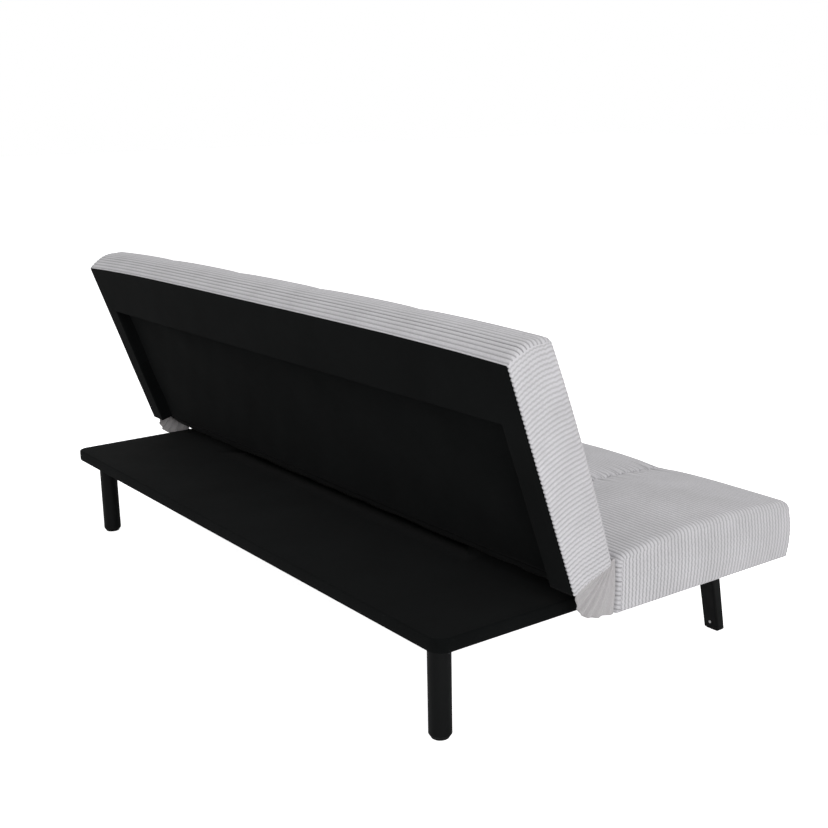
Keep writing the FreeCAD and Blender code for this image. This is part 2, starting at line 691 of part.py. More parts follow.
def back_frame():
    stile = back_box(STILE_IN, FRAME_X, CLOTH, FLOOR_T, 4, FRAME_H)
    save("back_stile_left", lean(mirrored(stile)))
    save("back_stile_right", lean(stile))
    save("back_top_rail", lean(back_box(-STILE_IN, STILE_IN, CLOTH, FLOOR_T, BAND_H, FRAME_H)))

    panel = back_box(-FRAME_X, FRAME_X, PANEL_T, MEMBER_T, 5, FRAME_H - 4)
    save("back_panel", lean(panel.cut(HINGE_ROOM)))

    member = back_box(MEMBER_X - MEMBER_WIDE, MEMBER_X, MEMBER_T, PAD_T, 8, 472)
    for t, h in BACK_SCREWS:
        member = member.cut(back_rod_x(MEMBER_X - SCREW_LONG + BACK_PLATE - 1, MEMBER_X + 1, t, h))
    save("back_side_member_left", lean(mirrored(member)))
    save("back_side_member_right", lean(member))

    inner = MEMBER_X - MEMBER_WIDE
    rails = [back_box(-inner, inner, MEMBER_T, PAD_T, h, h + 42) for h in (8, 430)]
    save("back_inner_rails", lean(group(rails)))
    width = LENGTH / PANELS
    struts = []
    for n in range(1, PANELS):
        x = -HALF + n * width
        struts.append(back_box(x - RAIL / 2, x + RAIL / 2, MEMBER_T, PAD_T, 50, 430))
    save("back_struts", lean(group(struts)))

    straps = []
    for h in (92, 176, 260, 344):
        straps.append(back_box(-inner - MEMBER_WIDE + 2, inner + MEMBER_WIDE - 2, PAD_T,
                               PAD_T + STRAP_THICK, h, h + STRAP_WIDE))
    save("back_webbing", lean(group(straps)))


def back_rod_x(x0, x1, t, h):
    return rod_x(x0, x1, -t, h, SCREW_R + FIT_GAP)


HINGE_ROOM = group([
    back_box(s * SLOT_NEAR, s * SLOT_FAR, FLOOR_T + 0.6, BACK_THICK + 30, -20, 72)
    for s in (-1, 1)])


def back_padding():
    outer = padded(back_profile, 0.0)
    lining = padded(back_profile, COVER, PLAIN_SEAM, PLAIN_END)
    filling = padded(back_profile, SHEET_IN, PLAIN_SEAM, PLAIN_END)
    edge = FRAME_X + CLOTH + 0.3
    rear_opening = back_box(-edge, edge, -5, FLOOR_T, -5, FRAME_H + CLOTH + 0.3)
    cover = outer.cut(lining).cut(rear_opening).cut(HINGE_ROOM)
    save("back_cover", lean(cover))

    clear = SOFT_GAP / 2
    room = [
        back_box(-HALF, HALF, -5, MEMBER_T + clear, -5, BACK_HEIGHT),
        back_box(-MEMBER_X - clear, MEMBER_X + clear, 0, PAD_T + STRAP_THICK + clear, -5, 473),
    ]
    near = MEMBER_X - 1
    far = HINGE_X + 3.2
    for s in (-1, 1):
        room.append(back_box(s * near, s * far, 0, PAD_T + STRAP_THICK + clear, -5, 194))
        room.append(back_box(s * near, s * far, PAD_T - 5, PIVOT_T + 6, 60, 125))
    foam = filling.cut(group([join(room)])).cut(HINGE_ROOM)
    save("back_foam", lean(foam))


def back_rear_cloth():
    """Black cloth over the rear: a raised frame at top and ends round a sunk panel."""
    x1 = FRAME_X + CLOTH
    top = FRAME_H + CLOTH
    outer = back_box(-x1, x1, 0, FLOOR_T, 2, top)
    upper = [e for e in outer.Edges if abs(e.tangentAt(0).y) > 0.9 and e.BoundBox.ZMin > 100]
    outer = outer.makeFillet(14.0, upper)
    recess = back_box(-STILE_IN + CLOTH, STILE_IN - CLOTH, -1, RECESS_DEPTH, -1, BAND_H - CLOTH)
    upper = [e for e in recess.Edges if abs(e.tangentAt(0).y) > 0.9 and e.BoundBox.ZMin > 100]
    recess = recess.makeFillet(4.0, upper)
    stiles = [back_box(s * STILE_IN, s * FRAME_X, CLOTH, FLOOR_T + 1, 0, FRAME_H)
              for s in (-1, 1)]
    rail = back_box(-STILE_IN, STILE_IN, CLOTH, FLOOR_T + 1, BAND_H, FRAME_H)
    cloth = outer.cut(recess).cut(join(stiles + [rail]))
    save("back_rear_cloth", lean(cloth))


# Cloth that folds between the seat and the backrest

def fan(apex, rim, thick):
    """Pleated sheet between one point and a zigzag rim, with an even thickness in X."""
    shift = Vec(thick, 0, 0)
    faces = []

    def face(points):
        faces.append(Part.Face(Part.makePolygon(list(points) + [points[0]])))

    for a, b in zip(rim, rim[1:]):
        face([apex, a, b])
        face([apex + shift, b + shift, a + shift])
        face([a, a + shift, b + shift])
        face([a, b + shift, b])
    for end in (rim[0], rim[-1]):
        face([apex, end, end + shift])
        face([apex, end + shift, apex + shift])
    return Part.Solid(Part.Shell(faces))


def fold_cloth():
    gap = 1.0
    seat_y = SEAT_REAR_Y - 0.1
    deck_z = DECK_TOP + 0.3
    top_y, top_z = local_to_yz(BACK_THICK - 20, 0)
    rear_y, rear_z = local_to_yz(3, -gap)
    apex = Vec(GUSSET_X, seat_y + 6, top_z - 12)
    ends = (Vec(GUSSET_X, seat_y, DECK_TOP - 22), Vec(GUSSET_X, rear_y, rear_z - gap))
    rim = []
    for n in range(2 * PLEATS + 1):
        share = n / (2 * PLEATS)
        point = ends[0] + (ends[1] - ends[0]) * share
        sag = 4 * 9.0 * share * (1 - share)
        point = point + Vec(PLEAT * (n % 2), sag * 0.6, -sag * 0.6)
        rim.append(point)
    gusset = fan(apex, rim, GUSSET_THICK)
    save("fold_gusset_left", mirrored(gusset))
    save("fold_gusset_right", gusset)

    inside = DECK_HALF - 2
    start_y, start_z = local_to_yz(6, -gap - FLAP_THICK)
    low = Vec(-inside, seat_y + 35, deck_z + 1)
    a = Vec(-inside, start_y, start_z)
    m = Vec(-inside, (a.y + low.y) / 2 + 3, (a.z + low.z) / 2 - 5)
    b = Vec(-inside, seat_y + 1, deck_z)
    down = Vec(0, 0, -FLAP_THICK)
    edges = [
        Part.Arc(a, m, low).toShape(), Part.LineSegment(low, b).toShape(),
        Part.LineSegment(b, b - down).toShape(), Part.LineSegment(b - down, low - down).toShape(),
        Part.Arc(low - down, m - down, a - down).toShape(), Part.LineSegment(a - down, a).toShape(),
    ]
    flap = Part.Face(Part.Wire(edges)).extrude(Vec(2 * inside, 0, 0))
    save("fold_flap", flap)


base_frame()
deck_cover()
seat_frame()
seat_padding()
rear_legs()
front_legs()
hinges()
back_frame()
back_padding()
back_rear_cloth()
fold_cloth()
for node, (solids, volume) in totals.items():
    print(node, solids, volume)
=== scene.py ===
"""Looks of the click clack sofa bed: corduroy cushions, black cloth, legs, camera and light."""
import json
import math

import bmesh
import bpy
import numpy as np
from mathutils import Matrix, Vector


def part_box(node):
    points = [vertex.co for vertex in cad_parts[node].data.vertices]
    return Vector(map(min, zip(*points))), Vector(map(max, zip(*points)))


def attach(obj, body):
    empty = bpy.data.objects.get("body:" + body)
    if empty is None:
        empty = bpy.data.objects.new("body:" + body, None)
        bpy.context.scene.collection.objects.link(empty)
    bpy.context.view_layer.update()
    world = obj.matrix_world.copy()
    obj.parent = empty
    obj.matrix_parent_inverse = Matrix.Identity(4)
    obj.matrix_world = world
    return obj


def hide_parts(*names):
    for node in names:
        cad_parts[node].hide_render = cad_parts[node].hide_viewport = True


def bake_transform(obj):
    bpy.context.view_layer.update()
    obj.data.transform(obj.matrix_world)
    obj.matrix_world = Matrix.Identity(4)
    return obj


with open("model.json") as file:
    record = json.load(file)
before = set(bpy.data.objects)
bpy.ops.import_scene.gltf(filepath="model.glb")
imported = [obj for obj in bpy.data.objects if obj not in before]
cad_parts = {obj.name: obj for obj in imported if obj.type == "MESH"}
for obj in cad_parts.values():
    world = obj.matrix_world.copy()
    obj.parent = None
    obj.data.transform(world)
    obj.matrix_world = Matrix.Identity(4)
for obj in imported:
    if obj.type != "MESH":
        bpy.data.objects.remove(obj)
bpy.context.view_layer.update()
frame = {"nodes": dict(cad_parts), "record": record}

nodes = frame["nodes"]
scene = bpy.context.scene

# Photograph's camera
PHOTO_SIZE = 828
SENSOR = 36.0
FOCAL_PIXELS = 1259.0
CAMERA_AT = (-2.4829, 1.6847, 1.1574)
CAMERA_YAW = math.radians(-36.0)
CAMERA_PITCH = math.radians(-13.874)
CAMERA_ROLL = math.radians(-1.078)

# Sizes of the sofa, in metres
LENGTH = 1.8
HALF = LENGTH / 2
PANELS = 5
PANEL = LENGTH / PANELS
SEAT_FRONT = -0.444
SEAT_REAR = 0.066
SEAT_BOTTOM = 0.204
SEAT_EDGE = 0.323
BACK_TILT = math.radians(19.45)
BACK_FOOT = Vector((0, 0.179, 0.268))
BACK_HEIGHT = 0.487
BACK_THICK = 0.1106
RIB = 0.0094
RIB_HIGH = 0.0024
RIB_STEPS = 5
PANEL_STEPS = 40

# Cushions
END_DRAW = 0.008
END_ROLL = 0.014
END_SLUMP = 0.16
END_BELLY = 0.0045
SEAM_DEEP = 0.008
STITCH_DEEP = 0.0045
PUCKER = 0.0034
SIDE_EASE = 0.14
SEAT_BITE = (1.0, 0.45, 0.3)
BACK_BITE = (1.0, 0.0, 0.06)
FRAME_ROOM = 0.0365
BACK_BOW = 0.011

# Light
FLOOR_GLOW = 0.9
WORLD_LIGHT = 0.42
LAMPS = (
    ("key", (-4.6, 1.4, 1.9), 2.6, 100.0),
    ("top", (0.5, 1.5, 4.0), 3.2, 32.0),
    ("fill", (0.6, -4.5, 2.6), 3.0, 26.0),
)


def camera():
    forward = Vector((math.cos(CAMERA_YAW) * math.cos(CAMERA_PITCH),
                      math.sin(CAMERA_YAW) * math.cos(CAMERA_PITCH), math.sin(CAMERA_PITCH)))
    level = forward.cross(Vector((0, 0, 1))).normalized()
    upright = level.cross(forward)
    right = level * math.cos(CAMERA_ROLL) + upright * math.sin(CAMERA_ROLL)
    up = upright * math.cos(CAMERA_ROLL) - level * math.sin(CAMERA_ROLL)
    data = bpy.data.cameras.new("camera")
    data.sensor_width = SENSOR
    data.lens = FOCAL_PIXELS / PHOTO_SIZE * SENSOR
    data.clip_end = 60
    eye = bpy.data.objects.new("camera", data)
    scene.collection.objects.link(eye)
    turn = Matrix((right, up, -forward)).transposed().to_4x4()
    eye.matrix_world = Matrix.Translation(CAMERA_AT) @ turn
    scene.camera = eye


# Materials

def new_material(name, color, roughness, sheen=0.0, specular=0.5, metallic=0.0):
    """Principled material; gives the material, its nodes, links and shader."""
    material = bpy.data.materials.new(name)
    material.use_nodes = True
    tree = material.node_tree
    shader = tree.nodes["Principled BSDF"]
    shader.inputs["Base Color"].default_value = (*color, 1)
    shader.inputs["Roughness"].default_value = roughness
    shader.inputs["Metallic"].default_value = metallic
    shader.inputs["Specular IOR Level"].default_value = specular
    if sheen:
        shader.inputs["Sheen Weight"].default_value = sheen
        shader.inputs["Sheen Roughness"].default_value = 0.5
    return material, tree, shader


def add(tree, kind, **sockets):
    node = tree.nodes.new(kind)
    for name, value in sockets.items():
        node.inputs[name.replace("_", " ")].default_value = value
    return node


def noise_of(tree, scale, detail=3.0, stretch=None):
    """Noise in object space, stretched along an axis if asked."""
    place = tree.nodes.new("ShaderNodeTexCoord")
    noise = add(tree, "ShaderNodeTexNoise", Scale=scale, Detail=detail)
    source = place.outputs["Object"]
    if stretch:
        mapping = tree.nodes.new("ShaderNodeMapping")
        mapping.inputs["Scale"].default_value = stretch
        tree.links.new(source, mapping.inputs["Vector"])
        source = mapping.outputs["Vector"]
    tree.links.new(source, noise.inputs["Vector"])
    return noise.outputs["Fac"]


def ramp_of(tree, value, stops):
    ramp = tree.nodes.new("ShaderNodeValToRGB")
    while len(ramp.color_ramp.elements) < len(stops):
        ramp.color_ramp.elements.new(0.5)
    for element, (place, color) in zip(ramp.color_ramp.elements, stops):
        element.position = place
        element.color = (*color, 1)
    tree.links.new(value, ramp.inputs["Fac"])
    return ramp.outputs["Color"]


def bump_of(tree, shader, height, strength, distance, before=None):
    bump = add(tree, "ShaderNodeBump", Strength=strength, Distance=distance)
    tree.links.new(height, bump.inputs["Height"])
    if before is not None:
        tree.links.new(before, bump.inputs["Normal"])
    tree.links.new(bump.outputs["Normal"], shader.inputs["Normal"])
    return bump.outputs["Normal"]


def shade(color, factor):
    return tuple(c * factor for c in color)


def corduroy(name, color):
    """Pile cloth: painted shade darkens the grooves, which the mesh carries as the attribute rib."""
    material, tree, shader = new_material(name, color, 0.95, sheen=0.35, specular=0.15)
    rib = tree.nodes.new("ShaderNodeAttribute")
    rib.attribute_name = "rib"
    # Painted shade: the base colour drops to a quarter in the grooves between the ribs and is slightly
    # lighter on their crowns.
    groove_painted_shade = ramp_of(tree, rib.outputs["Fac"], (
        (0.0, shade(color, 0.24)), (0.5, shade(color, 0.80)), (0.9, shade(color, 1.04))))
    blotch = ramp_of(tree, noise_of(tree, 9.0, 4.0), (
        (0.3, (0.93, 0.93, 0.93)), (0.7, (1.04, 1.04, 1.045))))
    pile = ramp_of(tree, noise_of(tree, 900.0, 2.0, (0.35, 1.0, 1.0)), (
        (0.3, (0.86, 0.86, 0.86)), (0.65, (1.06, 1.06, 1.06))))
    first = add(tree, "ShaderNodeMix")
    first.data_type = "RGBA"
    first.blend_type = "MULTIPLY"
    first.inputs["Factor"].default_value = 1.0
    tree.links.new(groove_painted_shade, first.inputs["A"])
    tree.links.new(blotch, first.inputs["B"])
    second = add(tree, "ShaderNodeMix")
    second.data_type = "RGBA"
    second.blend_type = "MULTIPLY"
    second.inputs["Factor"].default_value = 1.0
    tree.links.new(first.outputs["Result"], second.inputs["A"])
    tree.links.new(pile, second.inputs["B"])
    tree.links.new(second.outputs["Result"], shader.inputs["Base Color"])
    bump_of(tree, shader, noise_of(tree, 1400.0, 2.0), 0.35, 0.0006)
    return material


def plain_cloth(name, color, scale=1100.0, roughness=0.95, sheen=0.015):
    material, tree, shader = new_material(name, color, roughness, sheen=sheen, specular=0.05)
    tone = ramp_of(tree, noise_of(tree, 6.0, 5.0), (
        (0.3, shade(color, 0.8)), (0.7, shade(color, 1.25))))
    tree.links.new(tone, shader.inputs["Base Color"])
    fine = bump_of(tree, shader, noise_of(tree, scale, 3.0), 0.4, 0.0004)
    bump_of(tree, shader, noise_of(tree, 14.0, 3.0), 0.25, 0.004, fine)
    return material


def wood(name, color):
    material, tree, shader = new_material(name, color, 0.6)
    grain = ramp_of(tree, noise_of(tree, 30.0, 6.0, (0.15, 1.0, 1.0)), (
        (0.3, shade(color, 0.7)), (0.5, color), (0.75, shade(color, 1.15))))
    tree.links.new(grain, shader.inputs["Base Color"])
    bump_of(tree, shader, noise_of(tree, 60.0, 6.0, (0.1, 1.0, 1.0)), 0.2, 0.0005)
    return material


def lacquer(name, color, roughness):
    material, tree, shader = new_material(name, color, roughness, specular=0.12)
    bump_of(tree, shader, noise_of(tree, 220.0, 3.0, (1.0, 1.0, 0.2)), 0.12, 0.0004)
    rough = ramp_of(tree, noise_of(tree, 25.0, 4.0), (
        (0.3, (roughness * 0.85,) * 3), (0.7, (roughness * 1.15,) * 3)))
    tree.links.new(rough, shader.inputs["Roughness"])
    return material


def metal(name, color, roughness):
    material, tree, shader = new_material(name, color, roughness, metallic=1.0)
    bump_of(tree, shader, noise_of(tree, 400.0, 2.0), 0.15, 0.0002)
    return material


def foam(name, color):
    material, tree, shader = new_material(name, color, 1.0, specular=0.1)
    cells = add(tree, "ShaderNodeTexVoronoi", Scale=700.0)
    place = tree.nodes.new("ShaderNodeTexCoord")
    tree.links.new(place.outputs["Object"], cells.inputs["Vector"])
    bump_of(tree, shader, cells.outputs["Distance"], 0.5, 0.0008)
    return material


GREY = (0.60, 0.59, 0.61)
BLACK = (0.0036, 0.0041, 0.0042)
MATERIALS = {
    "corduroy": corduroy("corduroy", GREY),
    "corduroy_lining": corduroy("corduroy_lining", (0.46, 0.445, 0.45)),
    "black_cloth": plain_cloth("black_cloth", BLACK),
    "foam": foam("foam", (0.80, 0.74, 0.55)),
    "webbing": plain_cloth("webbing", (0.03, 0.03, 0.033), 500.0),
    "pine": wood("pine", (0.55, 0.38, 0.20)),
    "plywood": wood("plywood", (0.50, 0.35, 0.20)),
    "leg_black": lacquer("leg_black", (0.0022, 0.0025, 0.0027), 0.5),
    "glide": lacquer("glide", (0.012, 0.012, 0.012), 0.6),
    "hinge_steel": lacquer("hinge_steel", (0.02, 0.02, 0.022), 0.45),
    "spring_steel": metal("spring_steel", (0.35, 0.35, 0.37), 0.35),
    "zinc_steel": metal("zinc_steel", (0.62, 0.62, 0.63), 0.3),
}


def dress_nodes():
    """Give every construction piece the material of its slot."""
    for row in frame["record"]["subparts"]:
        mesh = nodes[row["node"]].data
        mesh.materials.clear()
        mesh.materials.append(MATERIALS[row["material_slot"]])


# Meshes

def mesh_object(name, points, quads, material, smooth=True, rib=None):
    mesh = bpy.data.meshes.new(name)
    mesh.from_pydata([tuple(p) for p in points], [], [tuple(q) for q in quads])
    mesh.validate()
    if smooth:
        mesh.polygons.foreach_set("use_smooth", [True] * len(mesh.polygons))
    if rib is not None:
        attribute = mesh.attributes.new("rib", "FLOAT", "POINT")
        attribute.data.foreach_set("value", np.asarray(rib, np.float32))
    mesh.materials.append(MATERIALS[material])
    item = bpy.data.objects.new(name, mesh)
    scene.collection.objects.link(item)
    return item


def arc_points(start, middle, end, count):
    """count points on the arc through three points, both ends included."""
    ax, ay = start
    bx, by = middle
    cx, cy = end
    d = 2 * (ax * (by - cy) + bx * (cy - ay) + cx * (ay - by))
    if abs(d) < 1e-9:
        return [(ax + (cx - ax) * i / (count - 1), ay + (cy - ay) * i / (count - 1))
                for i in range(count)]
    ux = ((ax**2 + ay**2) * (by - cy) + (bx**2 + by**2) * (cy - ay)
          + (cx**2 + cy**2) * (ay - by)) / d
    uy = ((ax**2 + ay**2) * (cx - bx) + (bx**2 + by**2) * (ax - cx)
          + (cx**2 + cy**2) * (bx - ax)) / d
    radius = math.hypot(ax - ux, ay - uy)
    first = math.atan2(ay - uy, ax - ux)
    mid = (math.atan2(by - uy, bx - ux) - first) % (2 * math.pi)
    last = (math.atan2(cy - uy, cx - ux) - first) % (2 * math.pi)
    if mid > last:
        last -= 2 * math.pi
    return [(ux + radius * math.cos(first + last * i / (count - 1)),
             uy + radius * math.sin(first + last * i / (count - 1))) for i in range(count)]


def outline(corners, bulges, dense=24):
    """Closed polyline round rounded corners, as four sides that start at corner middles."""
    count = len(corners)
    ends = []
    for i, (y, z, radius) in enumerate(corners):
        here = Vector((y, z))
        before = (Vector(corners[i - 1][:2]) - here).normalized()
        after = (Vector(corners[(i + 1) % count][:2]) - here).normalized()
        half = before.angle(after) / 2
        cut = radius / math.tan(half)
        inward = (before + after).normalized()
        middle = here + inward * (radius / math.sin(half) - radius)
        ends.append((here + before * cut, middle, here + after * cut))
    sides = []
    for i in range(count):
        start, middle, end = ends[i]
        nstart, nmiddle, nend = ends[(i + 1) % count]
        corner = arc_points(start, middle, end, 2 * dense + 1)[dense:]
        chord = nstart - end
        out = Vector((chord.y, -chord.x)).normalized()
        top = (end + nstart) / 2 + out * max(bulges[i], 1e-6)
        side = arc_points(end, top, nstart, dense)
        finish = arc_points(nstart, nmiddle, nend, 2 * dense + 1)[:dense + 1]
        line = corner + side[1:] + finish[1:]
        sides.append(np.array(line))
    return sides


def walk(line, count):
    """count points evenly spaced along a polyline, both ends included."""
    steps = np.hypot(*np.diff(line, axis=0).T)
    run = np.concatenate([[0], np.cumsum(steps)])
    at = np.linspace(0, run[-1], count)
    return np.stack([np.interp(at, run, line[:, k]) for k in range(2)], 1), run[-1]


def finish_mesh(item):
    """Turn all faces outwards."""
    work = bmesh.new()
    work.from_mesh(item.data)
    bmesh.ops.recalc_face_normals(work, faces=work.faces)
    work.to_mesh(item.data)
    work.free()


def profile_seat():
    """Section of the seat, how its sides swell, where it lies and how deep its seams are."""
    corners = [(SEAT_FRONT - 0.002, SEAT_BOTTOM - 0.003, 0.008), (SEAT_REAR - 0.001, SEAT_BOTTOM, 0.004),
               (SEAT_REAR - 0.001, SEAT_EDGE, 0.020), (SEAT_FRONT - 0.005, SEAT_EDGE + 0.006, 0.026)]
    return corners, [0, 0, 0.009, 0.007], lambda y, z: (y, z), SEAT_BITE


def profile_back():
    """The same for the back, in its own leaning plane."""
    corners = [(-BACK_THICK, 0.0005, 0.015), (-0.002, 0.0005, 0.003),
               (-0.002, BACK_HEIGHT, 0.004), (-BACK_THICK, BACK_HEIGHT + 0.008, 0.022)]
    c, s = math.cos(BACK_TILT), math.sin(BACK_TILT)
    return corners, [0, 0, 0.011, 0.004], lambda y, z: (
        BACK_FOOT.y + y * c + z * s, BACK_FOOT.z - y * s + z * c), BACK_BITE


def bow_of(x, height):
    """How far the back's top edge stands above its corners."""
    return BACK_BOW * (1 - (np.abs(x) / HALF) ** 4) * np.clip((height - 0.40) / 0.085, 0, 1)


def wale(phase):
    """Height of a rib, 0 in the groove and 1 on its crown."""
    return np.abs(np.sin(np.pi * phase)) ** 0.6


def seam_profile(xs):
    """For each x: fullness of the channel, distance to a seam, tuck at the ends, slump."""
    half_panel = PANEL / 2
    full = np.sin(np.pi * (((xs + HALF) / PANEL) % 1)) ** 0.55
    full[np.abs(xs) > HALF - half_panel] = 1
    seam = np.abs(((xs + HALF + half_panel) / PANEL) % 1 - 0.5) * PANEL
    seam[np.abs(xs) > HALF - half_panel] = PANEL
    inner = np.clip((HALF - np.abs(xs)) / END_ROLL, 0, 1)
    tuck = END_DRAW * (1 - np.sqrt(np.clip(1 - (1 - inner) ** 2, 0, 1)))
    settle = np.clip((HALF - np.abs(xs)) / END_SLUMP, 0, 1) ** 0.5
    return full, seam, tuck, settle


def seam_strength(strength, side_of, share):
    """How deep the seams bite round the section, eased from side to side."""
    along = strength[side_of]
    for k in range(4):
        rows = side_of == k
        before, after = strength[k - 1], strength[(k + 1) % 4]
        ease_in = (1 - np.clip(share[rows] / SIDE_EASE, 0, 1)) ** 2
        ease_out = (1 - np.clip((1 - share[rows]) / SIDE_EASE, 0, 1)) ** 2
        along[rows] = strength[k] + (before - strength[k]) / 2 * ease_in \
            + (after - strength[k]) / 2 * ease_out
    return along


def end_cap(flat, edges, way, phase, columns):
    """Grid between four edges of vertex numbers, with ribs that go on from the first edge."""
    a, b, c, d = edges
    u = np.linspace(0, 1, len(a))[:, None, None]
    v = np.linspace(0, 1, len(c))[None, :, None]
    face = ((1 - v) * flat[a][:, None] + v * flat[b][:, None] + (1 - u) * flat[c][None]
            + u * flat[d][None] - (1 - u) * (1 - v) * flat[a[0]] - u * (1 - v) * flat[a[-1]]
            - (1 - u) * v * flat[b[0]] - u * v * flat[b[-1]])
    lift = (np.clip(u * 12, 0, 1) * np.clip((1 - u) * 12, 0, 1)
            * np.clip(v * 8, 0, 1) * np.clip((1 - v) * 8, 0, 1))[:, :, 0]
    level = wale(phase[a // columns])[:, None] * np.ones((1, len(c)))
    belly = END_BELLY * (np.sin(np.pi * u) ** 0.5 * np.sin(np.pi * v) ** 0.5)[:, :, 0]
    face[:, :, 0] += way * (belly + RIB_HIGH * (level - 1) * lift)
    return face, level


def cushion(name, profile, long_side, crown, node_names, body):
    """Crowned cushion with sewn channels and corduroy ribs as real relief.

    The ribs run along the sofa and turn over the ends as lines that go on from
    the long side, which is the side people sit or lean on. The back's rear side
    is pressed in, to leave room for the frame and its sunk panel.
    """
    corners, bulges, place, bite = profile()
    is_back = long_side == 3
    sides = outline(corners, bulges)
    lengths = [walk(side, 2)[1] for side in sides]
    near, other, far = ((long_side + step) % 4 for step in (1, 2, 3))
    counts = [round(length / RIB * RIB_STEPS) + 1 for length in lengths]
    counts[other] = counts[long_side]
    counts[far] = counts[near]
    ring = np.concatenate([walk(side, n)[0][:-1] for side, n in zip(sides, counts)])
    share = np.concatenate([np.arange(n - 1) / (n - 1) for n in counts])
    side_of = np.concatenate([np.full(n - 1, k) for k, n in enumerate(counts)])
    phase = np.concatenate([np.arange(n - 1) * lengths[k] / (n - 1) / RIB
                            + sum(lengths[:k]) / RIB for k, n in enumerate(counts)])
    ahead = np.roll(ring, -2, 0) - np.roll(ring, 2, 0)
    normal = np.stack([ahead[:, 1], -ahead[:, 0]], 1)
    normal /= np.linalg.norm(normal, axis=1, keepdims=True)

    spread = 0.5 - 0.5 * np.cos(np.linspace(0, np.pi, PANEL_STEPS + 1)[:-1])
    xs = np.concatenate([-HALF + PANEL * (k + spread) for k in range(PANELS)] + [[HALF]])
    full, seam, tuck, settle = seam_profile(xs)
    strength = np.zeros(4)
    strength[[long_side, near, far]] = bite
    along = seam_strength(strength, side_of, share)[:, None]
    dome = np.where(side_of == long_side, np.sin(np.pi * share) ** 0.6, 0)[:, None]
    gather = np.exp(-seam / 0.020) * (1 - np.exp(-seam / 0.003))
    way_round = phase * RIB * 2 * np.pi
    ripple = np.sin(way_round / 0.019 + 1.7 * np.sin(way_round / 0.083))
    ripple += 0.5 * np.sin(way_round / 0.047)
    rise = dome * crown * ((0.45 + 0.55 * full) * (0.35 + 0.65 * settle))
    rise = rise - along * SEAM_DEEP * (1 - full)
    rise = rise + along * PUCKER * ripple[:, None] * gather
    rise = rise - along * STITCH_DEEP * np.exp(-(seam / 0.0035) ** 2)
    hold = np.ones(len(ring))
    if is_back:
        hold = np.select([side_of == near, side_of == far, side_of == other],
                         [1 - share, share, 0.0], 1.0)
    rise = rise - tuck * np.clip(hold * 3, 0, 1)[:, None]
    rib = wale(phase)[:, None] * np.ones_like(xs)
    shown = np.ones(len(ring)) if is_back else np.where(side_of == other, 0.2, 1.0)
    rise = rise + RIB_HIGH * (rib - 1) * shown[:, None]

    spots = ring[:, None] + normal[:, None] * rise[:, :, None]
    if is_back:
        spots[:, :, 1] += bow_of(xs, spots[:, :, 1])
        over = (np.abs(xs) < HALF - 0.006) & (spots[:, :, 1] < BACK_HEIGHT - 0.005)
        spots[:, :, 0] = np.where(over, np.minimum(spots[:, :, 0], -FRAME_ROOM), spots[:, :, 0])
    tube = np.empty((len(ring), len(xs), 3))
    tube[:, :, 0] = xs
    tube[:, :, 1], tube[:, :, 2] = place(spots[:, :, 0], spots[:, :, 1])

    columns = len(xs)
    index = np.arange(tube.size // 3).reshape(tube.shape[:2])
    closed = np.concatenate([index, index[:1]])
    quads = [grid_quads(closed)]
    points = [tube.reshape(-1, 3)]
    ribs = [rib.reshape(-1)]
    starts = np.concatenate([[0], np.cumsum([n - 1 for n in counts])])
    size = index.size
    for column, way in ((0, -1), (columns - 1, 1)):
        rows = [(starts[k] + np.arange(counts[k])) % len(ring) * columns + column
                for k in range(4)]
        edges = rows[long_side], rows[other][::-1], rows[far][::-1], rows[near]
        face, level = end_cap(points[0], edges, way, phase, columns)
        grid = np.empty(level.shape, int)
        inside = face[1:-1, 1:-1]
        fresh = size + np.arange(inside.size // 3)
        grid[1:-1, 1:-1] = fresh.reshape(inside.shape[:2])
        grid[:, 0], grid[:, -1], grid[0], grid[-1] = edges
        size += len(fresh)
        points.append(inside.reshape(-1, 3))
        ribs.append(level[1:-1, 1:-1].reshape(-1))
        quads.append(grid_quads(grid.T))
    item = mesh_object(name, np.concatenate(points), np.concatenate(quads), "corduroy",
                       rib=np.concatenate(ribs))
    finish_mesh(item)
    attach(item, body)
    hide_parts(*node_names)


def grid_quads(index):
    """Faces of a grid of vertex numbers."""
    corners = index[:-1, :-1], index[:-1, 1:], index[1:, 1:], index[1:, :-1]
    return np.stack(corners, -1).reshape(-1, 4)


def grid_object(name, points, material, thick):
    """Cloth from a grid of points, with a real thickness."""
    rows, columns = points.shape[:2]
    index = np.arange(rows * columns).reshape(rows, columns)
    item = mesh_object(name, points.reshape(-1, 3), grid_quads(index), material)
    shell = item.modifiers.new("shell", "SOLIDIFY")
    shell.thickness = thick
    shell.offset = 0
    graph = bpy.context.evaluated_depsgraph_get()
    item.data = bpy.data.meshes.new_from_object(item.evaluated_get(graph))
    item.modifiers.clear()
    finish_mesh(item)
    return item


def step_up(value, at, width):
    t = np.clip((value - at) / width + 0.5, 0, 1)
    return t * t * (3 - 2 * t)


def stops(*pieces):
    """Sorted values from (start, end, count) stretches."""
    return np.unique(np.concatenate([np.linspace(*piece) for piece in pieces]).round(6))


